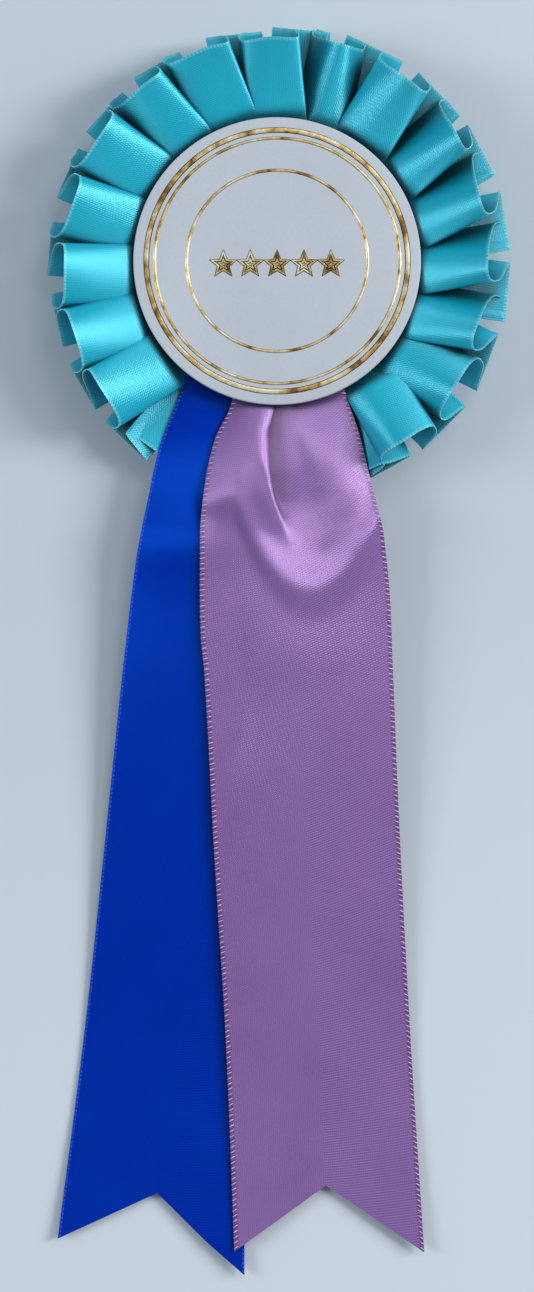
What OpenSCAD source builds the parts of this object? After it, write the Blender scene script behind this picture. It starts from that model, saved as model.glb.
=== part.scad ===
// Award rosette: box-pleated ribbon ruffle, card centre disc with foil, two
// long ribbon tails, and a brooch bar pin on the back. It lies on its back:
// +Z out of the disc's face, +Y towards the top of the rosette.

/* [Centre disc] */
// Diameter of the card centre disc
disc_d = 60; // [50:0.5:66]
// Thickness of the card centre disc
disc_t = 1.5; // [1:0.1:2]
// Height of the foil above the card
foil_t = 0.1; // [0.05:0.05:0.2]
// Width of the broad foil ring
broad_ring_w = 1.2; // [0.6:0.1:1.5]
// Width of the two fine foil rings
fine_ring_w = 0.7; // [0.3:0.05:0.8]
// Number of outlined stars across the middle
star_count = 5; // [3:2:5]
// Height of one star
star_h = 5.6; // [3:0.2:6]

/* [Ruffle] */
// Number of box pleats
pleats = 20; // [16:1:24]
// Radius of the ruffle's outer rim
ruffle_r = 49.2; // [44:0.1:54]
// Radius of the ruffle's stitched inner edge
ruffle_in_r = 24; // [20:0.5:26]
// Height of the opened pleats at the rim, above the ruffle's back
pleat_h = 12.5; // [8:0.5:14]
// Share of that height left under the tails
pressed = 0.16; // [0.1:0.01:0.18]

/* [Tails] */
// Width of the tail ribbon
tail_w = 40; // [36:0.5:42]
// Modelled thickness of a tail
tail_t = 0.5; // [0.3:0.05:0.5]
// Length of the front tail beyond the disc
lilac_len = 177.6; // [140:0.1:190]
// Length of the back tail beyond the disc
blue_len = 181.4; // [140:0.1:190]
// Depth of the swallowtail notch
notch = 13.8; // [8:0.1:20]
// Lean of the front tail, to the right
lilac_lean = 2.8; // [0:0.1:5]
// Lean of the back tail, to the left
blue_lean = 6.4; // [3:0.1:9]

/* [Brooch pin] */
// Length of the base bar
bar_l = 32; // [30:0.5:36]
// Width of the base bar
bar_w = 6; // [5:0.5:7]
// Radius of the pin wire
stem_r = 0.6; // [0.5:0.05:0.6]

/* [Hidden] */
$fn = 96;

// Rosette centre; the disc is glued a little low of the ruffle's centre
rose_y = 82.8;
disc_x = -0.6;
disc_y = 82.1;
// Heights, from the surface that the pin's feet stand on
axis_z = 1.9;                  // pin wire and catch axis
bar_z0 = 3.8;
bar_t = 0.8;
back_z0 = bar_z0 + bar_t;      // backing card
back_t = 0.8;
mount_z0 = back_z0 + back_t;   // mounting card
mount_t = 0.6;
ruf_z0 = mount_z0 + mount_t;   // underside of the ruffle
ruf_in_t = 1.8;                // layers of ribbon where they are stitched
blue_top_z = 8.1;
top_t = 0.4;
lilac_top_z = blue_top_z + top_t;
pad_z0 = lilac_top_z + top_t;
pad_t = 3;
pad_r = 18;
disc_z0 = pad_z0 + pad_t;
foil_z0 = disc_z0 + disc_t;
// Line where the tails come out from under the disc
fold_y = 50.5;
// Pin layout along the bar
pin_y = 88;
hinge_x = -14;
catch_x = 12.6;
catch_l = 3.3;
taper_x = 11.5;
tip_x = 15.8;

function smooth(a, b, x) = let(t = min(1, max(0, (x - a) / (b - a)))) t * t * (3 - 2 * t);

// ---------- centre disc and foil
module at_disc(z) translate([disc_x, disc_y, z]) children();

module foil_ring(r, w) at_disc(foil_z0) difference() {
    cylinder(r = r + w / 2, h = foil_t, $fn = 180);
    translate([0, 0, -1]) cylinder(r = r - w / 2, h = foil_t + 2, $fn = 180);
}

function star_points(r) = [for (i = [0:9])
    let(q = i % 2 == 0 ? r : r * 0.42, a = 90 + 36 * i) [q * cos(a), q * sin(a)]];

module star(r) difference() {
    polygon(star_points(r));
    polygon(star_points(r * 0.66));
}

module centre_disc() color("gainsboro") at_disc(disc_z0)
    cylinder(d = disc_d, h = disc_t, $fn = 180);

module foil_broad_ring() color("goldenrod") foil_ring(disc_d * 0.4545, broad_ring_w);
module foil_fine_ring() color("goldenrod") foil_ring(disc_d * 0.4265, fine_ring_w);
module foil_inner_ring() color("goldenrod") foil_ring(disc_d * 0.315, fine_ring_w);

module foil_stars() color("goldenrod") at_disc(foil_z0)
    for (i = [0:star_count - 1])
        translate([(i - (star_count - 1) / 2) * star_h, -0.13 * star_h, 0])
            linear_extrude(foil_t) star(star_h / 1.9);

module foam_pad() color("white") at_disc(pad_z0) cylinder(r = pad_r, h = pad_t);

// ---------- ruffle: one ring, its upper face cut into shingled box pleats
stations = [ruffle_in_r, 30, 35, 40, 44.5, ruffle_r];
// across one pleat: [share of the pitch, height share]
profile = [[0, 0.15], [0.12, 0.25], [0.26, 0.8], [0.5, 0.86], [0.8, 0.94], [0.95, 1], [0.97, 0.15]];

// Height share left at an angle clockwise from the top: the tails hold it down
function kept(a) = 1 - (1 - pressed) * smooth(140, 158, a) * (1 - smooth(214, 232, a));
function rise(r, a) = pleat_h * kept(a) * pow(min(1, max(0, (r - 26) / (ruffle_r - 2.5 - 26))), 1.15);
function top_z(r, a, share) = ruf_z0 + ruf_in_t * (0.75 + 0.25 * share) +
    max(0, rise(r, a) - ruf_in_t) * share;
function rim(r, share) = r < ruffle_r ? r : (share > 0.5 ? ruffle_r - 2.5 : ruffle_r);

module pleated_ribbon() color("darkturquoise") {
    m = len(profile);
    n = pleats * m;
    s = len(stations);
    angle = [for (k = [0:pleats - 1], p = profile) 360 * (k + p[0]) / pleats];
    share = [for (k = [0:pleats - 1], p = profile) p[1]];
    at = function(i, j, z) let(r = rim(stations[j], share[i]))
        [r * sin(angle[i]), rose_y + r * cos(angle[i]), z];
    points = concat(
        [for (j = [0:s - 1], i = [0:n - 1]) at(i, j, ruf_z0)],
        [for (j = [0:s - 1], i = [0:n - 1]) at(i, j, top_z(stations[j], angle[i], share[i]))]);
    id = function(side, i, j) side * n * s + j * n + (i % n);
    faces = concat(
        [for (j = [0:s - 2], i = [0:n - 1]) each [
            [id(0, i, j), id(0, i, j + 1), id(0, i + 1, j + 1)],
            [id(0, i, j), id(0, i + 1, j + 1), id(0, i + 1, j)],
            [id(1, i, j), id(1, i + 1, j + 1), id(1, i, j + 1)],
            [id(1, i, j), id(1, i + 1, j), id(1, i + 1, j + 1)]]],
        [for (i = [0:n - 1]) each [
            [id(0, i, s - 1), id(1, i, s - 1), id(1, i + 1, s - 1)],
            [id(0, i, s - 1), id(1, i + 1, s - 1), id(0, i + 1, s - 1)],
            [id(0, i, 0), id(1, i + 1, 0), id(1, i, 0)],
            [id(0, i, 0), id(0, i + 1, 0), id(1, i + 1, 0)]]]);
    polyhedron(points, faces, convexity = 8);
}

module pleat_stitching() color("teal") translate([0, rose_y, ruf_z0 + ruf_in_t - 0.1])
    rotate_extrude($fn = 120) translate([26.3, 0]) circle(r = 0.2, $fn = 16);

// ---------- tails
// Underside of the back tail at a distance y above the frame's origin line
heights = [[50.5, 8.6], [46, 8.6], [41, 8.7], [37, 8.7], [33, 8.4], [28, 7.1], [20, 4.8], [14, 3.5],
           [8, 2.6], [0, 1.8], [-10, 1.1], [-20, 0.6], [-40, 0.2], [-60, 0.1], [-140, 0.1]];
function under(y) = lookup(y, heights);
function gathered(t, full, tight) = tight + (full - tight) * smooth(-8, 52, t);

module tail(x0, lean, length, tight, lift, crown) {
    // distances along the tail; the last row is the cut end
    rows = [0, 4, 8, 12, 16, 20, 24, 28, 32, 38, 44, 52, 70, 100, 130, 156, length];
    cols = [-1, -0.5, 0, 0.5, 1];
    m = len(cols);
    s = len(rows);
    spot = function(j, c) let(
            last = j == s - 1,
            t = last ? length - notch * (1 - abs(c)) : rows[j],
            w = gathered(rows[j], tail_w, tight) / 2 * c,
            x = x0 + t * sin(lean) + w * cos(lean),
            y = fold_y - t * cos(lean) + w * sin(lean) * smooth(0, 8, t),
            belly = crown * (1 - c * c) * smooth(-16, 14, y) * (1 - smooth(16, 38, y)))
        [x, y, under(min(y, fold_y)) + lift + belly];
    points = concat(
        [for (j = [0:s - 1], c = cols) spot(j, c)],
        [for (j = [0:s - 1], c = cols) spot(j, c) + [0, 0, tail_t]]);
    id = function(side, j, i) side * s * m + j * m + i;
    faces = concat(
        [for (j = [0:s - 2], i = [0:m - 2]) each [
            [id(0, j, i), id(0, j, i + 1), id(0, j + 1, i + 1)],
            [id(0, j, i), id(0, j + 1, i + 1), id(0, j + 1, i)],
            [id(1, j, i), id(1, j + 1, i + 1), id(1, j, i + 1)],
            [id(1, j, i), id(1, j + 1, i), id(1, j + 1, i + 1)]]],
        [for (j = [0:s - 2]) each [
            [id(0, j, 0), id(0, j + 1, 0), id(1, j + 1, 0)],
            [id(0, j, 0), id(1, j + 1, 0), id(1, j, 0)],
            [id(0, j, m - 1), id(1, j + 1, m - 1), id(0, j + 1, m - 1)],
            [id(0, j, m - 1), id(1, j, m - 1), id(1, j + 1, m - 1)]]],
        [for (i = [0:m - 2]) each [
            [id(0, 0, i), id(1, 0, i), id(1, 0, i + 1)],
            [id(0, 0, i), id(1, 0, i + 1), id(0, 0, i + 1)],
            [id(0, s - 1, i), id(1, s - 1, i + 1), id(1, s - 1, i)],
            [id(0, s - 1, i), id(0, s - 1, i + 1), id(1, s - 1, i + 1)]]]);
    polyhedron(points, faces, convexity = 4);
}

module lilac_tail() color("mediumpurple") tail(1.8, lilac_lean, lilac_len, 26.5, 0.9, 2.2);
module blue_tail() color("royalblue") tail(-7.3, -blue_lean, blue_len, 30, 0, 0);

// The clamped end of each tail, gathered flat under the disc
module tail_top(x0, lean, wide, z) {
    y1 = fold_y + 0.4;
    y2 = y1 + 21;
    translate([0, 0, z]) linear_extrude(top_t) polygon([
        [x0 - wide / 2, y1], [x0 + wide / 2, y1],
        [x0 + wide / 2 - 21 * sin(lean), y2], [x0 - wide / 2 - 21 * sin(lean), y2]]);
}

module lilac_tail_top() color("mediumpurple") tail_top(1.8, lilac_lean, 26.5, lilac_top_z);
module blue_tail_top() color("royalblue") tail_top(-7.3, -blue_lean, 30, blue_top_z);

module tail_staples() color("silver") for (x = [-7, 4]) translate([x, 62, 0]) {
    translate([-3, -0.25, lilac_top_z + top_t]) cube([6, 0.5, 0.4]);
    for (s = [-3, 2.5]) translate([s, -0.25, mount_z0 + 0.1])
        cube([0.5, 0.5, lilac_top_z + top_t - mount_z0 - 0.1]);
}

// ---------- cards
module mounting_card() color("whitesmoke") translate([0, rose_y, mount_z0])
    cylinder(r = 27, h = mount_t);

module backing_card() color("white") difference() {
    translate([0, rose_y, back_z0]) cylinder(r = 29, h = back_t);
    for (x = [-7, 7]) translate([x, pin_y, back_z0 - 1]) cylinder(r = 0.85, h = back_t + 2, $fn = 32);
}

// ---------- brooch pin
module along_x(x0, r, l) translate([x0, pin_y, axis_z]) rotate([0, 90, 0]) cylinder(r = r, h = l, $fn = 48);
module along_y(y0, r, l) translate([hinge_x, pin_y + y0, axis_z]) rotate([-90, 0, 0]) cylinder(r = r, h = l, $fn = 48);

module pin_bar() color("silver") difference() {
    union() {
        translate([-bar_l / 2, pin_y - bar_w / 2, bar_z0]) cube([bar_l, bar_w, bar_t]);
        for (s = [-2.1, 1.5]) translate([hinge_x - 1.8, pin_y + s, 0]) cube([2.9, 0.6, bar_z0 + 0.01]);
    }
    for (x = [-7, 7]) translate([x, pin_y, bar_z0 - 1]) cylinder(r = 0.85, h = bar_t + 2, $fn = 32);
    along_y(-3, 0.52, 6);
}

module bar_rivets() color("gray") for (x = [-7, 7]) translate([x, pin_y, 0]) {
    translate([0, 0, bar_z0 - 0.3]) cylinder(r = 1.4, h = 0.3, $fn = 32);
    translate([0, 0, bar_z0]) cylinder(r = 0.8, h = bar_t + back_t, $fn = 32);
}

module hinge_rivet() color("gray") {
    along_y(-2.15, 0.5, 4.3);
    along_y(-2.45, 0.9, 0.3);
    along_y(2.15, 0.9, 0.3);
}

module catch_case() color("silver") difference() {
    translate([catch_x, pin_y - 1.9, 0]) cube([catch_l, 3.8, bar_z0]);
    along_x(catch_x - 1, 1.5, catch_l + 2);
    translate([catch_x - 1, pin_y - 0.95, -1]) cube([catch_l + 2, 1.9, axis_z]);
}

module catch_roller() color("darkgray") difference() {
    union() {
        along_x(catch_x + 0.1, 1.43, 3.9);
        translate([catch_x + catch_l + 0.2, pin_y, axis_z - 0.5]) cube([0.5, 2.4, 1]);
    }
    along_x(catch_x - 1, 0.85, 6);
    translate([catch_x - 1, pin_y - 0.7, axis_z - 2]) cube([6, 1.4, 2]);
}

module pin_stem() color("silver") difference() {
    union() {
        along_y(-1.2, 1.4, 2.4);
        along_x(hinge_x, stem_r, taper_x - hinge_x);
        translate([taper_x, pin_y, axis_z]) rotate([0, 90, 0])
            cylinder(r1 = stem_r, r2 = 0.15, h = tip_x - taper_x, $fn = 48);
    }
    along_y(-2, 0.56, 4);
}

centre_disc();
foil_broad_ring();
foil_fine_ring();
foil_inner_ring();
foil_stars();
foam_pad();
pleated_ribbon();
pleat_stitching();
lilac_tail_top();
blue_tail_top();
lilac_tail();
blue_tail();
tail_staples();
mounting_card();
backing_card();
pin_bar();
bar_rivets();
catch_case();
catch_roller();
hinge_rivet();
pin_stem();
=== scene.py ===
import math
import bpy
import bmesh
import numpy as np
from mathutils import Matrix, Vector


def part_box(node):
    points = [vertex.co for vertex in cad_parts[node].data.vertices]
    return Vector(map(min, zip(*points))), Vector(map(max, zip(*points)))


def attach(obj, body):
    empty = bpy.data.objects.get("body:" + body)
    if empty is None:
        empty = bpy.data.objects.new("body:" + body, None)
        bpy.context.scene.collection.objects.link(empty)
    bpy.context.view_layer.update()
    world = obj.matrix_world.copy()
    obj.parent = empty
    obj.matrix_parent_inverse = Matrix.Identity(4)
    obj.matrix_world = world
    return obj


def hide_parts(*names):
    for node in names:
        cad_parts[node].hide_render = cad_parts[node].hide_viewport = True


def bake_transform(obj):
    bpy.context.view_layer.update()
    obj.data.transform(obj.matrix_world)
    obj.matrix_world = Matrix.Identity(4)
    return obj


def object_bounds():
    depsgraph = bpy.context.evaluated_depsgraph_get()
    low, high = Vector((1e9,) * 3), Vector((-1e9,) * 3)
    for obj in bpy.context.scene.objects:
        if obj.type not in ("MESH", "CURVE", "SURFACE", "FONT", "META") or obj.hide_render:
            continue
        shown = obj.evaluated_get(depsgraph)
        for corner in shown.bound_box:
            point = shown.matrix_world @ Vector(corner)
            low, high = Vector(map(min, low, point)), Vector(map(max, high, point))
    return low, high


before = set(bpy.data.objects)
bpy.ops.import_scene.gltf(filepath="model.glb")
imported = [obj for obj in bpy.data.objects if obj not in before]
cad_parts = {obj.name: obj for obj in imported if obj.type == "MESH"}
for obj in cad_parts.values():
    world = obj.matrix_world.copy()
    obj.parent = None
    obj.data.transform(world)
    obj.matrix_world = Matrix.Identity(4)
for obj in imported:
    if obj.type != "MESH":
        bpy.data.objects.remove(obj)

CAD_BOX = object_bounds()
MM = 0.001
TAU = 2 * math.pi


# ------------------------------------------------------------------ helpers
def srgb(r, g, b):
    f = lambda c: (c / 255) / 12.92 if c / 255 <= 0.04045 else ((c / 255 + 0.055) / 1.055) ** 2.4
    return (f(r), f(g), f(b), 1.0)


def unit(v):
    v = np.asarray(v, float)
    return v / max(1e-9, np.linalg.norm(v))


def smooth(a, b, x):
    t = np.clip((x - a) / (b - a), 0, 1)
    return t * t * (3 - 2 * t)


def new_mesh(name, verts, faces, uvs=None, material=None, sharp=None):
    """verts in millimetres; uvs is one (u, v) in millimetres per vertex."""
    me = bpy.data.meshes.new(name)
    me.from_pydata([tuple(p) for p in np.asarray(verts, float) * MM], [], faces)
    me.update()
    if uvs is not None:
        layer = me.uv_layers.new(name="ribbon")
        loops = np.empty(len(me.loops), int)
        me.loops.foreach_get("vertex_index", loops)
        layer.data.foreach_set("uv", np.asarray(uvs, np.float32)[loops].ravel())
    me.polygons.foreach_set("use_smooth", [True] * len(me.polygons))
    if sharp is not None:
        me.set_sharp_from_angle(angle=math.radians(sharp))
    ob = bpy.data.objects.new(name, me)
    bpy.context.scene.collection.objects.link(ob)
    if material is not None:
        me.materials.append(material)
    return ob


def shell(name, grid, uv, thick, material, closed=False, sharp=40):
    """A cloth sheet from a grid[column, row, xyz], given a thickness with its edges closed."""
    n, m, _ = grid.shape
    if closed:
        du = np.roll(grid, -1, 0) - np.roll(grid, 1, 0)
    else:
        du = np.gradient(grid, axis=0)
    dv = np.gradient(grid, axis=1)
    nor = np.cross(du, dv)
    nor /= np.maximum(1e-9, np.linalg.norm(nor, axis=2, keepdims=True))
    top, bottom = grid + nor * thick / 2, grid - nor * thick / 2
    verts = np.concatenate([top.reshape(-1, 3), bottom.reshape(-1, 3)])
    uvs = np.concatenate([uv.reshape(-1, 2)] * 2)
    faces = []
    off = n * m
    last = n if closed else n - 1
    for i in range(last):
        k = (i + 1) % n
        for j in range(m - 1):
            a, b, c, d = i * m + j, k * m + j, k * m + j + 1, i * m + j + 1
            faces.append((a, b, c, d))
            faces.append((d + off, c + off, b + off, a + off))
        faces.append((i * m, i * m + off, k * m + off, k * m))
        e, g = i * m + m - 1, k * m + m - 1
        faces.append((e, g, g + off, e + off))
    if not closed:
        for j in range(m - 1):
            a, d = j, j + 1
            faces.append((a, d, d + off, a + off))
            b, c = (n - 1) * m + j, (n - 1) * m + j + 1
            faces.append((b, b + off, c + off, c))
    ob = new_mesh(name, verts, faces, uvs, material, sharp)
    return ob, nor


def beads(name, items, material, rings=4, sides=6):
    """Many small rounded stitches in one mesh: items are (centre, long axis, wide axis, thick axis) in mm, half sizes."""
    base = []
    for i in range(1, rings):
        a = math.pi * i / rings
        for k in range(sides):
            b = TAU * k / sides
            base.append((math.cos(a), math.sin(a) * math.cos(b), math.sin(a) * math.sin(b)))
    base = np.array([(1, 0, 0)] + base + [(-1, 0, 0)], float)
    nb = len(base)
    f0 = []
    for k in range(sides):
        f0.append((0, 1 + k, 1 + (k + 1) % sides))
        for i in range(rings - 2):
            p, q = 1 + i * sides + k, 1 + i * sides + (k + 1) % sides
            f0.append((p, p + sides, q + sides, q))
        e = 1 + (rings - 2) * sides
        f0.append((e + k, nb - 1, e + (k + 1) % sides))
    verts, faces = [], []
    for n, (c, ax, ay, az) in enumerate(items):
        verts.append(np.asarray(c) + base @ np.array([ax, ay, az]))
        faces.extend(tuple(q + n * nb for q in f) for f in f0)
    return new_mesh(name, np.concatenate(verts), faces, None, material)


# ------------------------------------------------------------------ node materials
class Nodes:
    def __init__(self, name):
        self.mat = bpy.data.materials.new(name)
        self.mat.use_nodes = True
        self.t = self.mat.node_tree
        self.t.nodes.clear()
        self.out = self.t.nodes.new("ShaderNodeOutputMaterial")
        self.bsdf = self.t.nodes.new("ShaderNodeBsdfPrincipled")
        self.t.links.new(self.bsdf.outputs[0], self.out.inputs["Surface"])

    def add(self, kind, **kw):
        n = self.t.nodes.new(kind)
        for k, v in kw.items():
            setattr(n, k, v)
        return n

    def link(self, a, b):
        self.t.links.new(a, b)

    def set(self, **kw):
        for k, v in kw.items():
            self.bsdf.inputs[k.replace("_", " ")].default_value = v

    def math(self, op, a, b=None, clamp=False):
        n = self.add("ShaderNodeMath", operation=op, use_clamp=clamp)
        for i, x in enumerate((a, b)):
            if x is None:
                continue
            if isinstance(x, (int, float)):
                n.inputs[i].default_value = x
            else:
                self.link(x, n.inputs[i])
        return n.outputs[0]

    def ramp(self, fac, stops, interpolation="LINEAR"):
        n = self.add("ShaderNodeValToRGB")
        n.color_ramp.interpolation = interpolation
        e = n.color_ramp.elements
        while len(e) < len(stops):
            e.new(0.5)
        for el, (p, c) in zip(e, stops):
            el.position, el.color = p, c
        self.link(fac, n.inputs[0])
        return n.outputs[0]

    def grey(self, fac, lo, hi, a=0.0, b=1.0):
        n = self.add("ShaderNodeMapRange")
        for k, v in zip(("From Min", "From Max", "To Min", "To Max"), (lo, hi, a, b)):
            n.inputs[k].default_value = v
        self.link(fac, n.inputs["Value"])
        return n.outputs[0]

    def mix(self, fac, a, b, blend="MIX"):
        n = self.add("ShaderNodeMix", data_type="RGBA", blend_type=blend)
        for sock, x in ((n.inputs[0], fac), (n.inputs[6], a), (n.inputs[7], b)):
            if isinstance(x, (int, float, tuple)):
                sock.default_value = x
            else:
                self.link(x, sock)
        return n.outputs[2]

    def noise(self, vec, scale, detail=3.0, rough=0.5):
        n = self.add("ShaderNodeTexNoise")
        n.inputs["Scale"].default_value = scale
        n.inputs["Detail"].default_value = detail
        n.inputs["Roughness"].default_value = rough
        if vec is not None:
            self.link(vec, n.inputs["Vector"])
        return n.outputs[0]

    def coords(self, which="Object"):
        return self.add("ShaderNodeTexCoord").outputs[which]

    def bump(self, height, strength, distance):
        n = self.add("ShaderNodeBump")
        n.inputs["Strength"].default_value = strength
        n.inputs["Distance"].default_value = distance
        self.link(height, n.inputs["Height"])
        self.link(n.outputs[0], self.bsdf.inputs["Normal"])
        return n


def satin(name, lit, mid, dark, width, rough=0.42, aniso=0.55, sheen=0.25, pitch=0.55, edge=None, spec=0.9, edge_w=0.5, tint=(1, 1, 1, 1), metal=0.2, ior=2.1, relief=0.2):
    """Polyester satin ribbon. Its map is in mm: x along the ribbon, y across it."""
    m = Nodes(name)
    uv = m.add("ShaderNodeUVMap", uv_map="ribbon").outputs[0]
    s = m.add("ShaderNodeSeparateXYZ")
    m.link(uv, s.inputs[0])
    u, v = s.outputs[0], s.outputs[1]
    # twill: fine diagonal lines, broken up by the yarns that cross them
    diag = m.math("SINE", m.math("MULTIPLY", m.math("ADD", u, m.math("MULTIPLY", v, 0.8)), TAU / pitch))
    weft = m.math("SINE", m.math("MULTIPLY", u, TAU / 0.47))
    warp = m.math("SINE", m.math("MULTIPLY", v, TAU / 0.41))
    fine = m.noise(uv, 3.1, 2.0, 0.6)
    weave = m.math("ADD", m.math("MULTIPLY", diag, 0.5),
                   m.math("ADD", m.math("MULTIPLY", weft, 0.3), m.math("MULTIPLY", warp, 0.25)))
    weave = m.math("MULTIPLY", weave, m.grey(fine, 0.3, 0.7, 0.35, 1.0))
    patch = m.noise(m.coords(), 55.0, 3.0, 0.55)
    tone = m.math("ADD", m.math("MULTIPLY", weave, 0.55), m.grey(patch, 0.25, 0.75, 0.42, 0.58))
    colour = m.ramp(tone, [(0.0, dark), (0.5, mid), (1.0, lit)])
    # woven selvage along both edges
    across = m.math("ABSOLUTE", m.math("SUBTRACT", v, width / 2))
    rim = m.grey(across, width / 2 - edge_w - 0.15, width / 2 - edge_w + 0.1)
    if edge is not None:
        cross = m.grey(m.math("SINE", m.math("MULTIPLY", u, TAU / 0.73)), -0.2, 0.6)
        colour = m.mix(m.math("MULTIPLY", rim, m.grey(cross, 0, 1, 0.35, 1.0)), colour, edge)
    # painted shade: ambient occlusion darkens the base colour towards a near-black copy of the dark tone in creases,
    # recesses and under the disc
    ao = m.add("ShaderNodeAmbientOcclusion", samples=6)
    ao.inputs["Distance"].default_value = 0.008
    unshaded_share = m.math("POWER", m.grey(ao.outputs["AO"], 0.30, 0.86), 1.4)
    painted_shade_colour = tuple(c * 0.10 for c in dark[:3]) + (1.0,)
    m.link(m.mix(unshaded_share, painted_shade_colour, colour), m.bsdf.inputs["Base Color"])
    m.link(m.grey(m.noise(uv, 1.3, 2.0), 0.3, 0.7, rough - 0.05, rough + 0.06), m.bsdf.inputs["Roughness"])
    # the long floats lie along the ribbon, so the gloss spreads across it
    m.set(Anisotropic=aniso, Anisotropic_Rotation=0.25, Metallic=metal, Sheen_Weight=sheen, Sheen_Roughness=0.4, Specular_IOR_Level=spec, IOR=ior)
    m.bsdf.inputs["Sheen Tint"].default_value = lit
    m.bsdf.inputs["Specular Tint"].default_value = tint
    tan = m.add("ShaderNodeTangent", direction_type="UV_MAP", uv_map="ribbon")
    m.link(tan.outputs[0], m.bsdf.inputs["Tangent"])
    m.bump(weave, relief, 0.00003)
    return m.mat


def thread(name, lit, dark, scale=2600):
    m = Nodes(name)
    co = m.coords()
    n = m.noise(co, scale, 2.0)
    m.link(m.ramp(n, [(0.25, dark), (0.7, lit)]), m.bsdf.inputs["Base Color"])
    m.link(m.grey(m.noise(co, 400), 0.3, 0.7, 0.5, 0.7), m.bsdf.inputs["Roughness"])
    m.set(Sheen_Weight=0.3, Sheen_Roughness=0.4)
    m.bump(n, 0.4, 0.00005)
    return m.mat


def card(name, base, grey, rough=0.55, speck=0.04):
    m = Nodes(name)
    co = m.coords()
    big = m.noise(co, 40, 4.0)
    fine = m.noise(co, 1500, 3.0, 0.7)
    tone = m.math("ADD", m.math("MULTIPLY", big, 0.6), m.math("MULTIPLY", fine, 0.4))
    m.link(m.ramp(tone, [(0.3, grey), (0.65, base)]), m.bsdf.inputs["Base Color"])
    m.link(m.grey(m.noise(co, 220, 3), 0.3, 0.7, rough - 0.06, rough + 0.06), m.bsdf.inputs["Roughness"])
    m.bump(fine, 0.25, speck * MM)
    return m.mat


def foil(name):
    m = Nodes(name)
    co = m.coords()
    crinkle = m.noise(co, 1500, 3.0, 0.65)
    broad = m.noise(co, 260, 3.0, 0.5)
    gold = m.ramp(broad, [(0.36, srgb(142, 104, 44)), (0.47, srgb(226, 190, 116)), (0.62, srgb(255, 244, 208))])
    s = m.add("ShaderNodeSeparateXYZ")
    m.link(m.coords("Normal"), s.inputs[0])
    # painted shade: where the foil's surface is steep (its pressed edges, by the normal's Z) its colour turns dark
    # brown, its flat top stays gold
    m.link(m.mix(m.grey(s.outputs[2], 0.74, 0.95), srgb(44, 29, 8), gold), m.bsdf.inputs["Base Color"])
    m.link(m.grey(crinkle, 0.3, 0.7, 0.26, 0.46), m.bsdf.inputs["Roughness"])
    m.set(Metallic=0.62)
    m.bump(m.math("ADD", crinkle, m.math("MULTIPLY", broad, 0.7)), 0.45, 0.0001)
    return m.mat


def nickel(name):
    m = Nodes(name)
    co = m.coords()
    mp = m.add("ShaderNodeMapping")
    mp.inputs["Scale"].default_value = (60, 2200, 1500)
    m.link(co, mp.inputs[0])
    lines = m.noise(mp.outputs[0], 1.0, 3.0, 0.6)
    wear = m.noise(co, 160, 4.0, 0.6)
    m.link(m.ramp(wear, [(0.3, srgb(176, 176, 172)), (0.7, srgb(216, 217, 216))]), m.bsdf.inputs["Base Color"])
    m.link(m.grey(lines, 0.3, 0.7, 0.22, 0.42), m.bsdf.inputs["Roughness"])
    m.set(Metallic=1.0)
    m.bump(lines, 0.15, 0.00003)
    return m.mat


def foam(name):
    m = Nodes(name)
    co = m.coords()
    v = m.add("ShaderNodeTexVoronoi")
    v.inputs["Scale"].default_value = 1600
    m.link(co, v.inputs["Vector"])
    n = m.noise(co, 300, 3)
    m.link(m.ramp(n, [(0.3, srgb(214, 214, 210)), (0.7, srgb(240, 240, 236))]), m.bsdf.inputs["Base Color"])
    m.link(m.grey(n, 0.3, 0.7, 0.8, 0.95), m.bsdf.inputs["Roughness"])
    m.bump(v.outputs["Distance"], 0.6, 0.0002)
    return m.mat


TURQUOISE = satin("turquoise_satin", srgb(38, 214, 240), srgb(20, 196, 226), srgb(8, 160, 192), 25.0,
                  rough=0.46, aniso=0.9, relief=0.8, sheen=0.15, edge=srgb(130, 232, 244), tint=srgb(176, 244, 255), spec=0.75)
TURQUOISE_EDGE = thread("turquoise_thread", srgb(128, 228, 240), srgb(30, 160, 190))
LILAC = satin("lilac_satin", srgb(184, 141, 211), srgb(150, 111, 180), srgb(110, 74, 141), 40.0,
              rough=0.40, aniso=1.0, sheen=0.12, edge=srgb(104, 68, 130), edge_w=0.9, tint=srgb(244, 216, 252), spec=0.5, relief=0.5)
LILAC_EDGE = thread("lilac_thread", srgb(242, 208, 236), srgb(176, 128, 190))
BLUE = satin("blue_satin", srgb(6, 60, 212), srgb(3, 40, 184), srgb(2, 20, 146), 40.0,
             rough=0.40, aniso=1.0, sheen=0.08, edge=srgb(20, 80, 225), edge_w=0.5, tint=srgb(20, 140, 255), spec=0.8)
BLUE_EDGE = thread("blue_thread", srgb(60, 110, 235), srgb(10, 40, 170))
CARD = card("disc_card", srgb(197, 204, 212), srgb(185, 193, 203), 0.5)
BOARD = card("backing_board", srgb(232, 230, 224), srgb(214, 212, 204), 0.75)
FOIL = foil("gold_foil")
NICKEL = nickel("nickel")
FOAM = foam("foam")
SEW = thread("teal_thread", srgb(20, 130, 155), srgb(6, 84, 106))


# ------------------------------------------------------------------ camera
EYE = (-2.7, 1.8, 600.0)
cam_data = bpy.data.cameras.new("camera")
cam_data.lens = 78.4
cam_data.sensor_width = 36.0
cam_data.clip_start, cam_data.clip_end = 0.01, 20
cam = bpy.data.objects.new("camera", cam_data)
cam.location = tuple(c * MM for c in EYE)
cam.rotation_euler = (0, 0, 0)
bpy.context.scene.collection.objects.link(cam)
bpy.context.scene.camera = cam


def seen(x, y, z):
    """The point at height z that lies under the eye's line to (x, y) on the floor."""
    k = 1 - z / EYE[2]
    return np.array([EYE[0] + (x - EYE[0]) * k, EYE[1] + (y - EYE[1]) * k])


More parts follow.
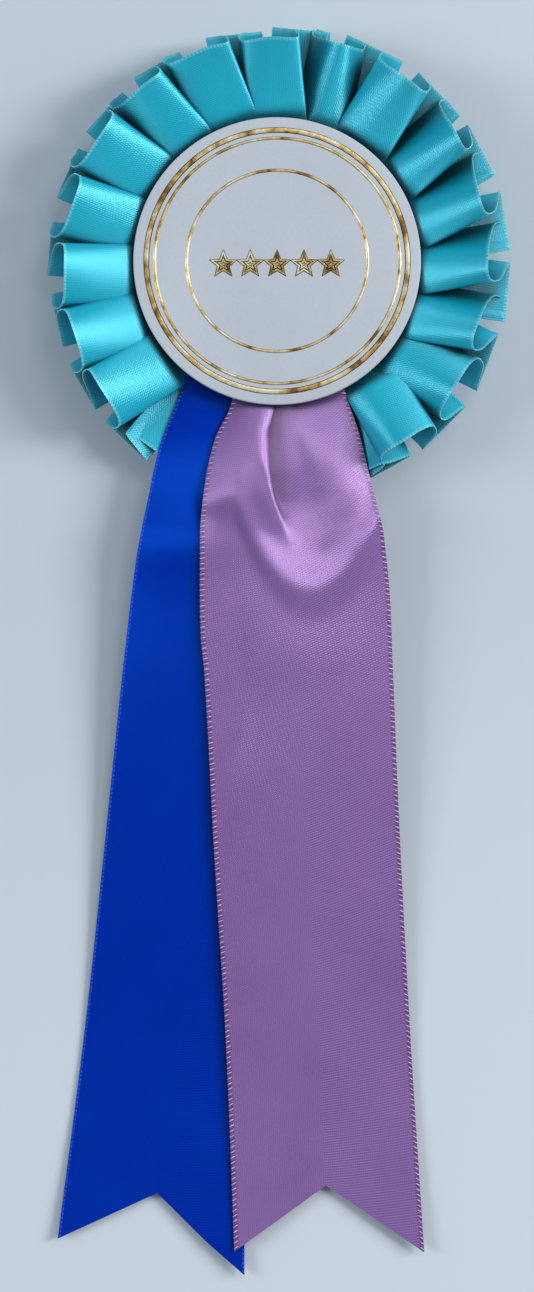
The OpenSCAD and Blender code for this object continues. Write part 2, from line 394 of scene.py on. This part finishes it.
# ------------------------------------------------------------------ ruffle
# Twenty box pleats, clockwise from the top. Each row gives, as (angle clockwise, radius in mm as laid out on
# the floor plane): the left fold, the middle and the right fold of the front panel at the rim, the right fold
# where it goes under the disc, and the left and right corners of the back panel that follows.
PLEATS = [
    ((349.3, 47.4), (357.5, 46.8), (4.8, 47.5), (10.4, 30.6), (358.2, 48.8), (12.7, 48.8)),
    ((8.3, 48.2), (16.5, 47.2), (22.1, 48.2), (29.0, 30.5), (17.0, 49.2), (32.3, 49.1)),
    ((26.5, 48.0), (36.0, 46.6), (41.9, 47.7), (47.8, 30.6), (37.2, 49.0), (52.1, 48.7)),
    ((46.0, 47.8), (55.0, 45.9), (60.3, 46.7), (67.0, 30.5), (55.2, 48.9), (69.5, 48.9)),
    ((62.3, 47.2), (72.5, 44.5), (78.5, 46.2), (87.3, 30.8), (73.8, 48.9), (88.5, 49.1)),
    ((81.3, 47.2), (90.5, 44.4), (96.6, 46.4), (106.0, 30.6), (91.7, 49.1), (106.3, 50.0)),
    ((100.4, 47.4), (108.0, 44.7), (115.6, 46.5), (124.3, 30.9), (109.8, 49.5), (124.4, 50.9)),
    ((117.3, 48.2), (127.0, 46.6), (135.2, 49.0), (141.3, 31.6), (129.1, 51.0), (143.5, 51.3)),
    ((137.9, 49.6), (147.5, 47.5), (153.6, 49.0), (155.0, 32.2), (146.7, 51.0), (161.0, 51.6)),
    ((153.5, 49.8), (163.0, 49.5), (172.0, 49.5), (172.0, 32.4), (164.0, 51.8), (179.0, 52.0)),
    ((171.0, 49.9), (180.0, 49.9), (189.0, 50.1), (188.0, 32.8), (182.0, 52.0), (196.0, 52.2)),
    ((188.0, 50.1), (197.0, 50.1), (205.0, 50.3), (205.5, 32.8), (198.0, 52.2), (211.0, 52.1)),
    ((205.0, 50.6), (217.0, 49.3), (221.1, 50.0), (221.9, 32.7), (213.1, 52.1), (226.6, 51.4)),
    ((223.5, 50.3), (235.0, 47.5), (239.6, 48.5), (239.0, 32.7), (230.2, 51.2), (242.7, 50.6)),
    ((240.0, 49.5), (251.0, 46.9), (256.2, 48.5), (256.2, 32.3), (247.3, 50.2), (260.4, 49.6)),
    ((256.7, 48.8), (268.0, 46.1), (273.3, 47.4), (274.3, 31.7), (265.2, 49.8), (278.4, 49.2)),
    ((274.8, 48.4), (286.0, 45.5), (291.9, 47.0), (293.1, 31.2), (284.6, 49.2), (298.0, 48.8)),
    ((293.3, 48.2), (304.0, 46.3), (310.6, 47.7), (312.7, 30.6), (302.7, 49.1), (316.0, 48.5)),
    ((311.3, 48.0), (321.5, 46.8), (327.2, 47.8), (331.6, 30.5), (320.6, 49.1), (333.7, 48.5)),
    ((329.0, 48.2), (340.0, 47.2), (346.5, 47.7), (350.8, 30.6), (341.2, 49.1), (355.3, 48.0)),
]
LAID = (0.07, 84.99)          # where those angles and radii are taken about, on the floor plane
HUB = np.array([0.0, 82.9])   # the ruffle's own centre
SEAM_R = 24.0
RIBBON_W = 24.9
PANEL = 12.5


def laid(p, z):
    a, r = math.radians(p[0]), p[1]
    return seen(LAID[0] + r * math.sin(a), LAID[1] + r * math.cos(a), z)


def clock(p):
    return math.degrees(math.atan2(p[0] - HUB[0], p[1] - HUB[1])) % 360


def held_down(a):
    """0 where the tails lie on the pleats, 1 where the pleats stand free."""
    return 1 - smooth(150, 160, a) * (1 - smooth(214, 228, a))


def rim_point(p, base, z0, most):
    """A rim point on its line of sight, as high as the ribbon's width allows."""
    z = z0 + 4
    for _ in range(12):
        tip = laid(p, z)
        run = np.linalg.norm(tip - base)
        rise = math.sqrt(max(0.25, RIBBON_W ** 2 - run ** 2))
        z = 0.5 * z + 0.5 * (z0 + min(rise, most))
    a = clock(laid(p, z))
    k = held_down(a)
    z = z0 + 0.12 + (z - z0 - 0.12) * k
    tip = laid(p, z)
    return np.array([tip[0], tip[1], z]), k


Z_IN = dict(BL=6.85, BR=6.35, L=7.4, M=7.65, R=7.95)
pleat = []
for row in PLEATS:
    tipR = laid(row[2], 15)
    inR = laid(row[3], 9.5)
    d = unit(tipR - inR)
    lam = 0.0
    while np.linalg.norm(inR - d * lam - HUB) > SEAM_R and lam < 12:
        lam += 0.05
    R0 = inR - d * lam
    left = np.array([-d[1], d[0]])
    L0 = R0 + left * PANEL
    M0 = (R0 + L0) / 2
    L1, kL = rim_point(row[0], L0, Z_IN["L"], 8.5)
    M1, kM = rim_point(row[1], M0, Z_IN["M"], 12.0)
    R1, kR = rim_point(row[2], R0, Z_IN["R"], 10.0)
    bl, br = laid(row[4], 7.4), laid(row[5], 7.2)
    e = unit((bl + br) / 2 - HUB)
    eleft = np.array([-e[1], e[0]])
    BL0 = HUB + e * SEAM_R + eleft * 6.2
    BR0 = HUB + e * SEAM_R - eleft * 6.2
    zb = 0.7 * held_down(clock((bl + br) / 2))
    pleat.append(dict(
        L=(np.append(L0, Z_IN["L"]), L1), M=(np.append(M0, Z_IN["M"]), M1), R=(np.append(R0, Z_IN["R"]), R1),
        BL=(np.append(BL0, Z_IN["BL"]), np.append(bl, Z_IN["BL"] + zb)),
        BR=(np.append(BR0, Z_IN["BR"]), np.append(br, Z_IN["BR"] + zb)),
        out=np.append(d, 0), side=np.append(-left, 0), open=(kL + kM + kR) / 3))


def bez(p0, p1, p2, p3, n, last=False):
    t = np.linspace(0, 1, n + 1)[: n + 1 if last else n, None]
    return (1 - t) ** 3 * p0 + 3 * (1 - t) ** 2 * t * p1 + 3 * (1 - t) * t * t * p2 + t ** 3 * p3


def ruffle_grid(rows=26):
    out = []
    for j in range(rows):
        v = j / (rows - 1)
        cols = []
        up = np.array([0, 0, 1.0])

        def at(pair):
            a, b = pair
            p = a + (b - a) * v
            p[2] = a[2] + (b[2] - a[2]) * float(0.27 * smooth(0.24, 0.40, v) + 0.73 * (0.1 * v + 0.9 * v ** 1.9))
            return p
        for k, q in enumerate(pleat):
            nxt = pleat[(k + 1) % len(pleat)]
            L, M, R, BL, BR, LN = at(q["L"]), at(q["M"]), at(q["R"]), at(q["BL"]), at(q["BR"]), at(nxt["L"])
            o = 0.12 + 0.88 * q["open"]
            on = 0.12 + 0.88 * nxt["open"]
            w = v ** 1.3
            tR = unit(q["out"] * (0.15 + 1.0 * w) - up * (1.1 - 0.55 * w))
            tL = unit(-q["out"] * (0.9 * w) + up * (1.0 - 0.25 * w))
            tLN = unit(-nxt["out"] * (0.9 * w) + up * (1.0 - 0.25 * w))
            hL, hR = 0.12 + 2.3 * w * o, 0.12 + 1.5 * w * o
            hLN = 0.12 + 2.3 * w * on
            tM = unit((R - L) * np.array([1, 1, 0.4]))
            span = np.linalg.norm(R - L)
            cols.append(bez(L, L + tL * hL, M - tM * span * 0.24, M, 14))
            cols.append(bez(M, M + tM * span * 0.24, R - tR * hR, R, 12))
            cols.append(bez(R, R + tR * hR, BL + (R - BL) * 0.45, BL, 10))
            cols.append(bez(BL, BL + (BR - BL) / 3, BR + (BL - BR) / 3, BR, 5))
            cols.append(bez(BR, BR + (LN - BR) * 0.45, LN - tLN * hLN, LN, 10))
        out.append(np.concatenate(cols))
    return np.stack(out, axis=1)


grid = ruffle_grid()
step = np.linalg.norm(np.roll(grid[:, 13], -1, 0) - grid[:, 13], axis=1)
along = np.concatenate([[0], np.cumsum(step)[:-1]])
uv = np.stack(np.broadcast_arrays(along[:, None], np.linspace(0, 25, grid.shape[1])[None, :]), axis=-1)
ruffle, ruffle_n = shell("ruffle_ribbon", grid, uv, 0.2, TURQUOISE, closed=True)
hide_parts("pleated_ribbon")
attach(ruffle, "rosette")
print("ruffle length mm", round(float(step.sum()), 1), "rim", round(float(grid[:, -1, 2].max()), 2))

# cross stitches of the selvage, over the rim
rim = grid[:, -1]
rim_in = grid[:, -2]
closed_rim = np.vstack([rim, rim[:1]])
seg = np.linalg.norm(np.diff(closed_rim, axis=0), axis=1)
cum = np.concatenate([[0], np.cumsum(seg)])
count = int(cum[-1] / 0.74)
items = []
for i in range(count):
    s = (i + 0.5) / count * cum[-1]
    k = min(len(seg) - 1, int(np.searchsorted(cum, s) - 1))
    f = (s - cum[k]) / max(1e-9, seg[k])
    k2 = (k + 1) % len(rim)
    p = rim[k] * (1 - f) + rim[k2] * f
    inward = unit((rim_in[k] - rim[k]) * (1 - f) + (rim_in[k2] - rim[k2]) * f)
    nn = unit(ruffle_n[k, -1] * (1 - f) + ruffle_n[k2, -1] * f)
    uu = unit(np.cross(nn, inward))
    items.append((p + inward * 0.22, inward * 0.36, uu * 0.11, nn * 0.16))
selvage = beads("ruffle_selvage", items, TURQUOISE_EDGE)
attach(selvage, "rosette")


# ------------------------------------------------------------------ tails
def spline(xs, ys, x):
    """Smooth curve through the points (monotone cubic), for each x."""
    xs, ys = np.asarray(xs, float), np.asarray(ys, float)
    h = np.diff(xs)
    d = np.diff(ys, axis=0) / (h if ys.ndim == 1 else h[:, None])
    m = np.zeros_like(ys)
    m[0], m[-1] = d[0], d[-1]
    a, b = d[:-1], d[1:]
    with np.errstate(divide="ignore", invalid="ignore"):
        hm = 2 * a * b / (a + b)
    m[1:-1] = np.where(a * b > 0, hm, 0)
    x = np.clip(x, xs[0], xs[-1])
    i = np.clip(np.searchsorted(xs, x) - 1, 0, len(h) - 1)
    t = (x - xs[i]) / h[i]
    hh = h[i]
    if ys.ndim > 1:
        t, hh = t[..., None], hh[..., None]
    return ((2 * t ** 3 - 3 * t ** 2 + 1) * ys[i] + (t ** 3 - 2 * t ** 2 + t) * hh * m[i]
            + (-2 * t ** 3 + 3 * t ** 2) * ys[i + 1] + (t ** 3 - t ** 2) * hh * m[i + 1])


def resample(points, n, base=None):
    """n points evenly spaced along a smooth curve through the control points, raised by base (x, z) if given."""
    points = np.asarray(points, float)
    k = np.concatenate([[0], np.cumsum(np.sqrt(np.linalg.norm(np.diff(points, axis=0), axis=1)))])
    ts = np.linspace(0, k[-1], 240)
    # Catmull-Rom through the control points
    ext = np.vstack([2 * points[0] - points[1], points, 2 * points[-1] - points[-2]])
    ke = np.concatenate([[k[0] - (k[1] - k[0])], k, [k[-1] + (k[-1] - k[-2])]])
    out = []
    for t in ts:
        i = int(np.clip(np.searchsorted(k, t) - 1, 0, len(points) - 2))
        p = ext[i:i + 4]
        q = ke[i:i + 4]
        m1 = (p[2] - p[0]) / (q[2] - q[0])
        m2 = (p[3] - p[1]) / (q[3] - q[1])
        h = q[2] - q[1]
        w = (t - q[1]) / h
        out.append((2 * w ** 3 - 3 * w * w + 1) * p[1] + (w ** 3 - 2 * w * w + w) * h * m1
                   + (-2 * w ** 3 + 3 * w * w) * p[2] + (w ** 3 - w * w) * h * m2)
    out = np.array(out)
    if base is not None:
        out[:, 2] += np.interp(out[:, 0], base[0], base[1])
    L = np.concatenate([[0], np.cumsum(np.linalg.norm(np.diff(out, axis=0), axis=1))])
    s = np.linspace(0, L[-1], n)
    return np.stack([np.interp(s, L, out[:, c]) for c in range(3)], axis=1)


# heights of the two tails' course from under the disc down to the floor
def smin(a, b, k):
    return -k * np.log(np.exp(-a / k) + np.exp(-b / k))


BLUE_Z = ([-132.0, -100, -85, -70, -55, -40, -20, 0, 10, 16, 20, 24, 27, 30, 34, 40, 50, 56, 62, 72],
          [0.22, 0.28, 0.45, 0.85, 1.5, 2.35, 3.9, 5.75, 6.8, 7.6, 8.25, 8.75, 8.82, 8.62, 8.38, 8.45, 8.6, 8.5, 8.35, 8.35])
LILAC_LEFT = ([-127.0, -82.5, -41.6, -2.6, 3.5, 11.6, 25.3, 36.1, 45.0, 52.8, 60.0, 72.0],
              [-9.6, -11.4, -13.9, -16.0, -16.6, -16.8, -16.7, -15.6, -13.6, -10.1, -9.0, -9.0])
LILAC_RIGHT = ([-127.0, -82.5, -41.6, -2.6, 11.6, 25.2, 36.0, 46.7, 54.7, 60.0, 72.0],
               [30.7, 27.9, 25.6, 23.8, 23.2, 21.7, 19.1, 16.5, 13.8, 12.6, 12.0])
BLUE_LEFT = ([-125.0, -76.3, -40.5, -2.6, 20.1, 32.9, 42.2, 57.0, 64.0, 72.0],
             [-47.3, -41.1, -37.2, -33.1, -30.2, -27.7, -25.7, -20.4, -19.0, -19.0])
# the lilac tail's tuck: its nose, where its hollow ends on the right, and its heights over the ribbon's course
NOSE = ([14, 22, 27.3, 30.7, 33.6, 37.4, 41.6, 46.6, 52, 60, 72], [5.0, 3.0, 0.9, -0.4, -1.4, -2.1, -2.5, -2.5, -1.4, -1.0, -1.0])
HOLLOW = ([14, 24, 28, 32, 36, 41, 46.6, 52, 60, 72], [10.0, 10.0, 10.4, 10.4, 9.6, 7.8, 5.6, 4.4, 4.0, 4.0])
CREST = ([18, 22, 25, 28, 31, 35, 40, 45, 49, 53, 58, 64, 72], [0.0, 0.1, 0.35, 1.0, 2.0, 3.2, 3.8, 3.3, 2.5, 1.7, 0.8, 0.25, 0.25])
TUCK = ([24, 28, 31, 35, 40, 46, 52, 60, 72], [0.0, 0.12, 0.4, 0.8, 1.0, 1.0, 1.0, 1.0, 1.0])
OVER = ([24, 31, 35, 40, 46, 52, 60, 72], [0.4, 1.0, 2.0, 3.2, 4.2, 5.0, 5.5, 5.5])
DEPTH = ([18, 22, 25, 28, 31, 34, 38, 45, 52, 60, 72], [0.0, 0.05, 0.2, 0.5, 0.7, 0.7, 0.6, 0.5, 0.4, 0.0, 0.0])
PUFF = ([15, 20, 24, 28, 32, 36, 40, 45, 50, 56, 62, 72], [0.0, 0.35, 0.9, 1.5, 2.1, 2.5, 2.5, 2.0, 1.2, 0.4, 0.1, 0.1])
RIDGE = ([-127, -105.7, -98, -70.3, -39.6, -29, -9.7, 14, 40], [-6.5, -5, -4.4, -0.1, 4.1, 4.8, 8.0, 6.5, 6.5])


def curl(y):
    """The cut ends have sprung a little off the floor."""
    return 2.0 * max(0.0, (-70.0 - y) / 62.0) ** 2


def at(table, y):
    return float(spline(*table, np.array(float(y))))


def lilac_z(x, y):
    """Course of the lilac tail: nearly level as far as a U-shaped brow, then a long slope to the floor."""
    level = 9.4
    level += (8.75 - 9.4) * float(smooth(50, 62, y))
    xr = at(RIDGE, y)
    dx = x - xr
    brow = 13.6 + min(18.5, (0.075 if dx < 0 else 0.07) * dx * dx)
    d = brow - y
    # it swells up to the brow, tips over it and runs down to the floor
    reach = 5.5 + 1.5 * float(smooth(2, 14, dx))
    swell = 1.05 * math.exp(-(d / reach) ** 2) if d < 0 else 1.05 * math.exp(-(d / 3.6) ** 2)
    t = d / 1.2
    soft = d if t > 30 else 1.2 * math.log1p(math.exp(t))
    z = level + swell * (1 - float(smooth(40, 52, y))) - 0.078 * soft
    z = 0.62 + 0.8 * math.log1p(math.exp(max(-30.0, min(30.0, (z - 0.62) / 0.8))))
    # the ridge that runs on down the ribbon
    down = float(1 - smooth(-2, 14, y))
    z += down * 0.75 * max(0.0, 1 - math.sqrt((dx / 15.0) ** 2 + 0.06)) * (1 - 0.5 * float(smooth(-70, -127, y)))
    z += curl(y)
    under = at(BLUE_Z, y) + curl(y) + 0.36
    lift = 0.75 * float(smooth(48, 40, y)) * (1 - 0.55 * float(smooth(-50, -110, y)))
    covered = float(smooth(4.5, 0.5, x - 6.6 - 0.11 * y))      # where the blue tail lies below
    least = (under + lift * float(smooth(-4, -16, x + 2))) * covered
    t = (z - least) / 0.35
    return z if t > 30 else least + 0.35 * math.log1p(math.exp(max(-30.0, t)))


def lilac_row(y):
    """Control points (x, height over the course) across the tail, and the course itself."""
    xl, xr = at(LILAC_LEFT, y), at(LILAC_RIGHT, y)
    xs_base = np.linspace(xl, xr, 49)
    base = (xs_base, np.array([lilac_z(x, y) for x in xs_base]))
    if y < 14:
        return [(x, 0.0) for x in np.linspace(xl, xr, 13)], base
    xf, xs = at(NOSE, y), at(HOLLOW, y)
    H, q, o, D, P = at(CREST, y), at(TUCK, y), at(OVER, y), at(DEPTH, y), at(PUFF, y)
    return [
        (xl, 0.0),
        (xl + 0.30 * (xf - xl), 0.50 * H),
        (xl + 0.62 * (xf - xl), 0.85 * H),
        (xf - 1.7, 1.0 * H),
        (xf - 0.35, 0.85 * H),
        (xf + 0.05, 0.52 * H),
        (xf + 0.5 * (1 - q) - (0.4 + 0.4 * o) * q, 0.22 * H - 0.2 * D),
        (xf + 1.2 * (1 - q) - o * q, 0.05 * H - 0.5 * D),
        (xf + 2.4 * (1 - q) + 1.0 * q, -D),
        (xf + 0.55 * (xs - xf) + 0.4, -0.75 * D + 0.22 * P),
        (xs, 0.76 * P),
        (xs + 0.42 * (xr - xs), P),
        (xr, 0.45 * P),
    ], base


def blue_row(y):
    xl = at(BLUE_LEFT, y)
    wide = at(([-132, 0, 30, 50, 60, 72], [39.8, 39.6, 37.5, 31.5, 29.5, 29.0]), y)
    z = at(BLUE_Z, y) + curl(y)
    a = float(smooth(8, 34, y)) * (1 - 0.9 * float(smooth(48, 58, y)))
    lift = 0.35 * float(1 - smooth(-10, 20, y)) * float(smooth(-90, -30, y))
    sag = (0.9 - 0.4 * float(smooth(30, 36, y))) * float(smooth(18, 25, y)) * float(1 - smooth(52, 60, y))
    return [(xl, z + lift), (xl + 0.16 * wide, z + 0.3 * a + 0.3 * lift), (xl + 0.36 * wide, z + 0.1 * a), (xl + 0.6 * wide, z - 0.4 * sag),
            (xl + 0.8 * wide, z - sag), (xl + wide, z - sag)], None


def tail_grid(row_points, y_top, y_ends, notch_y, cols=61, rows=170):
    """Rows run straight across at the top and bend to the swallowtail cut at the end."""
    c = np.linspace(-1, 1, cols)
    yl, yr = y_ends
    end = np.where(c < 0, notch_y + (yl - notch_y) * -c, notch_y + (yr - notch_y) * c)
    f = np.linspace(0, 1, rows) ** 1.12
    g = np.zeros((cols, rows, 3))
    g[..., 1] = y_top + (end[:, None] - y_top) * f[None, :]
    # every point takes x and z from the row at its own y
    table_y = np.linspace(end.min() - 1, y_top, 460)
    table = []
    for y in table_y:
        points, base = row_points(y)
        table.append(resample([(x, y, z) for x, z in points], cols, base))
    table = np.array(table)
    for i in range(cols):
        g[i, :, 0] = np.interp(g[i, :, 1], table_y, table[:, i, 0])
        g[i, :, 2] = np.interp(g[i, :, 1], table_y, table[:, i, 2])
    return g


def tail_uv(g, width):
    d = np.linalg.norm(np.diff(g, axis=1), axis=2)
    length = np.concatenate([np.zeros((g.shape[0], 1)), np.cumsum(d, axis=1)], axis=1).mean(axis=0)
    across = np.linspace(0, width, g.shape[0])
    return np.stack(np.broadcast_arrays(length[None, :], across[:, None]), axis=-1)


lg = tail_grid(lilac_row, 71.0, (-126.7, -127.0), -112.9, cols=81)
lilac, lilac_n = shell("lilac_tail_ribbon", lg, tail_uv(lg, 40.0), 0.3, LILAC)
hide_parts("lilac_tail", "lilac_tail_top")

bg = tail_grid(blue_row, 71.5, (-124.2, -131.9), -114.6, cols=49)
blue, blue_n = shell("blue_tail_ribbon", bg, tail_uv(bg, 40.0), 0.3, BLUE)
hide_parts("blue_tail", "blue_tail_top")


def edge_stitches(name, g, nor, material, pitch, long, wide, thick, inset):
    items = []
    for side in (0, -1):
        e = g[side]
        inner = g[1] if side == 0 else g[-2]
        seg = np.linalg.norm(np.diff(e, axis=0), axis=1)
        cum = np.concatenate([[0], np.cumsum(seg)])
        n = int(cum[-1] / pitch)
        for i in range(n):
            s = (i + 0.5) / n * cum[-1]
            k = min(len(seg) - 1, max(0, int(np.searchsorted(cum, s) - 1)))
            f = (s - cum[k]) / seg[k]
            p = e[k] * (1 - f) + e[k + 1] * f
            q = inner[k] * (1 - f) + inner[k + 1] * f
            inward = unit(q - p)
            nn = unit(nor[side, k] * (1 - f) + nor[side, k + 1] * f)
            uu = unit(np.cross(nn, inward))
            items.append((p + inward * inset, inward * long, uu * wide, nn * thick))
    return beads(name, items, material)


lilac_edge = edge_stitches("lilac_selvage", lg, lilac_n, LILAC_EDGE, 1.12, 0.64, 0.19, 0.3, 0.5)
blue_edge = edge_stitches("blue_selvage", bg, blue_n, BLUE_EDGE, 0.95, 0.4, 0.18, 0.27, 0.3)
for o, body, z in ((lilac, "lilac_tail", 9.75), (lilac_edge, "lilac_tail", 9.75), (blue, "blue_tail", 8.85), (blue_edge, "blue_tail", 8.85)):
    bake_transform(o)


# ------------------------------------------------------------------ disc, foil and stars
def lathe(name, profile, centre, material, n=256, closed=True):
    """profile is a list of (radius, z) in mm; a closed profile makes a ring."""
    x0, y0 = centre
    verts, faces = [], []
    m = len(profile)
    for i in range(n):
        a = TAU * i / n
        for r, z in profile:
            verts.append((x0 + r * math.cos(a), y0 + r * math.sin(a), z))
    for i in range(n):
        k = (i + 1) % n
        for j in range(m if closed else m - 1):
            l = (j + 1) % m
            faces.append((i * m + j, k * m + j, k * m + l, i * m + l))
    return new_mesh(name, verts, faces, None, material, 35)


lo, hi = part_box("centre_disc")
disc_c = (float(lo[0] + hi[0]) / 2 / MM, float(lo[1] + hi[1]) / 2 / MM)
disc_r = float(hi[0] - lo[0]) / 2 / MM
disc_lo, disc_hi = float(lo[2]) / MM, float(hi[2]) / MM


def rounded_disc(r, z0, z1, b):
    p = [(0.001, z0)]
    for i in range(7):
        a = -math.pi / 2 + math.pi / 2 * i / 6
        p.append((r - b + b * math.cos(a), z0 + b + b * math.sin(a)))
    for i in range(7):
        a = math.pi / 2 * i / 6
        p.append((r - b + b * math.cos(a), z1 - b + b * math.sin(a)))
    for f in (0.9, 0.7, 0.45, 0.2):
        p.append((r * f, z1))
    p.append((0.001, z1))
    return p


disc = lathe("disc_card_face", rounded_disc(disc_r, disc_lo, disc_hi, 0.28), disc_c, CARD, closed=False)
bm = bmesh.new()
bm.from_mesh(disc.data)
bmesh.ops.remove_doubles(bm, verts=bm.verts, dist=0.00001)
bmesh.ops.recalc_face_normals(bm, faces=bm.faces)
bm.to_mesh(disc.data)
bm.free()
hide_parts("centre_disc")
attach(disc, "rosette")


def foil_ring(name, node, high):
    lo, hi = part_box(node)
    r1 = float(hi[0] - lo[0]) / 2 / MM
    w = {"foil_broad_ring": 1.2, "foil_fine_ring": 0.7, "foil_inner_ring": 0.7}[node]
    rm = r1 - w / 2
    p = []
    wall = 0.17
    p.append((rm + w / 2, disc_hi - 0.02))
    for i in range(9):
        t = 1 - i / 4
        p.append((rm + (w / 2 - wall) * t, disc_hi + high * (1 - 0.22 * t * t)))
    p.append((rm - w / 2, disc_hi - 0.02))
    ob = lathe(name, p, disc_c, FOIL, n=360)
    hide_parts(node)
    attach(ob, "rosette")
    return ob


foil_ring("foil_ring_broad", "foil_broad_ring", 0.2)
foil_ring("foil_ring_fine", "foil_fine_ring", 0.14)
foil_ring("foil_ring_inner", "foil_inner_ring", 0.14)


def star_outline(cx, cy, r, ratio=0.42):
    return [(cx + (r if i % 2 == 0 else r * ratio) * math.cos(math.radians(90 + 36 * i)),
             cy + (r if i % 2 == 0 else r * ratio) * math.sin(math.radians(90 + 36 * i))) for i in range(10)]


def stroke(points, half, z0, high):
    """A closed raised line with a rounded top along a polygon, mitred at its corners."""
    n = len(points)
    P = np.array(points)
    verts, faces = [], []
    prof = [(-1, 0), (-0.52, 0.9), (0, 1), (0.52, 0.9), (1, 0)]
    for i in range(n):
        a, b, c = P[i - 1], P[i], P[(i + 1) % n]
        n1 = unit([-(b - a)[1], (b - a)[0]])
        n2 = unit([-(c - b)[1], (c - b)[0]])
        m = unit(n1 + n2)
        k = min(2.2, 1 / max(0.2, float(m @ n1)))
        for s, h in prof:
            q = b + m * s * half * k
            verts.append((q[0], q[1], z0 + h * high))
    w = len(prof)
    for i in range(n):
        k = (i + 1) % n
        for j in range(w - 1):
            faces.append((i * w + j, i * w + j + 1, k * w + j + 1, k * w + j))
        faces.append((i * w + w - 1, i * w, k * w, k * w + w - 1))
    return verts, faces


verts, faces = [], []
for i in range(5):
    cx, cy = disc_c[0] + (i - 2) * 5.6, disc_c[1] - 0.73
    for r, h in ((2.5, 0.33), (1.05, 0.26)):
        v, f = stroke(star_outline(cx, cy, r), h, disc_hi - 0.02, 0.2)
        faces += [tuple(q + len(verts) for q in t) for t in f]
        verts += v
stars = new_mesh("foil_star_row", verts, faces, None, FOIL, 30)
bm = bmesh.new()
bm.from_mesh(stars.data)
bmesh.ops.recalc_face_normals(bm, faces=bm.faces)
bm.to_mesh(stars.data)
bm.free()
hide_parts("foil_stars")
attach(stars, "rosette")

# foam pad under the disc, its side squeezed out a little
lo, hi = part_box("foam_pad")
pz0, pz1, pr = float(lo[2]) / MM, float(hi[2]) / MM, float(hi[0] - lo[0]) / 2 / MM
prof = [(0.001, pz0)] + [(pr - 0.5 + 0.5 * math.sin(math.pi * i / 10), pz0 + (pz1 - pz0) * i / 10) for i in range(11)] + [(0.001, pz1)]
pad = lathe("foam_pad_disc", prof, disc_c, FOAM, n=160, closed=False)
bm = bmesh.new()
bm.from_mesh(pad.data)
bmesh.ops.remove_doubles(bm, verts=bm.verts, dist=0.00001)
bmesh.ops.recalc_face_normals(bm, faces=bm.faces)
bm.to_mesh(pad.data)
bm.free()
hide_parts("foam_pad")
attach(pad, "rosette")

# ------------------------------------------------------------------ finishes on the CAD parts
for names, mat in (
    (("mounting_card", "backing_card"), BOARD),
    (("tail_staples", "pin_bar", "bar_rivets", "catch_case", "catch_roller", "hinge_rivet", "pin_stem"), NICKEL),
    (("pleat_stitching",), SEW),
):
    for n in names:
        o = bpy.data.objects.get(n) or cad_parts[n]
        if not isinstance(o, bpy.types.Object):
            continue
        o.data.materials.clear()
        o.data.materials.append(mat)

# ------------------------------------------------------------------ floor and light
floor_z = float(CAD_BOX[0][2])
me = bpy.data.meshes.new("floor")
S = 3.0
me.from_pydata([(-S, -S, floor_z), (S, -S, floor_z), (S, S, floor_z), (-S, S, floor_z)], [], [(0, 1, 2, 3)])
floor = bpy.data.objects.new("floor", me)
bpy.context.scene.collection.objects.link(floor)
fm = Nodes("floor_paper")
co = fm.coords()
fs = fm.add("ShaderNodeSeparateXYZ")
fm.link(co, fs.inputs[0])
paper = fm.ramp(fm.noise(co, 6, 3), [(0.3, srgb(199, 210, 220)), (0.7, srgb(205, 216, 225))])
# painted light: the floor colour is mixed lighter towards -y, where the tails' ends lie
fm.link(fm.mix(fm.grey(fs.outputs[1], 0.02, -0.16, 0.0, 1.0), paper, srgb(222, 231, 240)), fm.bsdf.inputs["Base Color"])
fm.set(Roughness=0.7, Specular_IOR_Level=0.2)
me.materials.append(fm.mat)

world = bpy.data.worlds.new("world")
bpy.context.scene.world = world
world.use_nodes = True
bgn = world.node_tree.nodes["Background"]
bgn.inputs[0].default_value = (0.78, 0.90, 1.0, 1)
bgn.inputs[1].default_value = 0.24
bpy.context.scene.view_settings.view_transform = "Standard"


def softbox(name, loc, target, size, power, colour=(1, 1, 1)):
    l = bpy.data.lights.new(name, "AREA")
    l.shape = "RECTANGLE"
    l.size, l.size_y = size
    l.energy = power
    l.color = colour
    o = bpy.data.objects.new(name, l)
    o.location = loc
    o.rotation_mode = "QUATERNION"
    o.rotation_quaternion = (Vector(target) - Vector(loc)).to_track_quat("-Z", "Y")
    bpy.context.scene.collection.objects.link(o)


softbox("key_right", (0.80, 0.24, 0.60), (0, 0.0, 0), (0.28, 0.50), 7.4, (1.0, 0.98, 0.97))
softbox("fill_left", (-0.80, 0.10, 0.56), (0, 0.0, 0), (0.30, 0.44), 3.4, (0.95, 0.98, 1.0))
softbox("top_high", (0.30, 0.60, 1.05), (0, -0.10, 0), (0.5, 0.4), 2.0, (0.97, 0.99, 1.0))
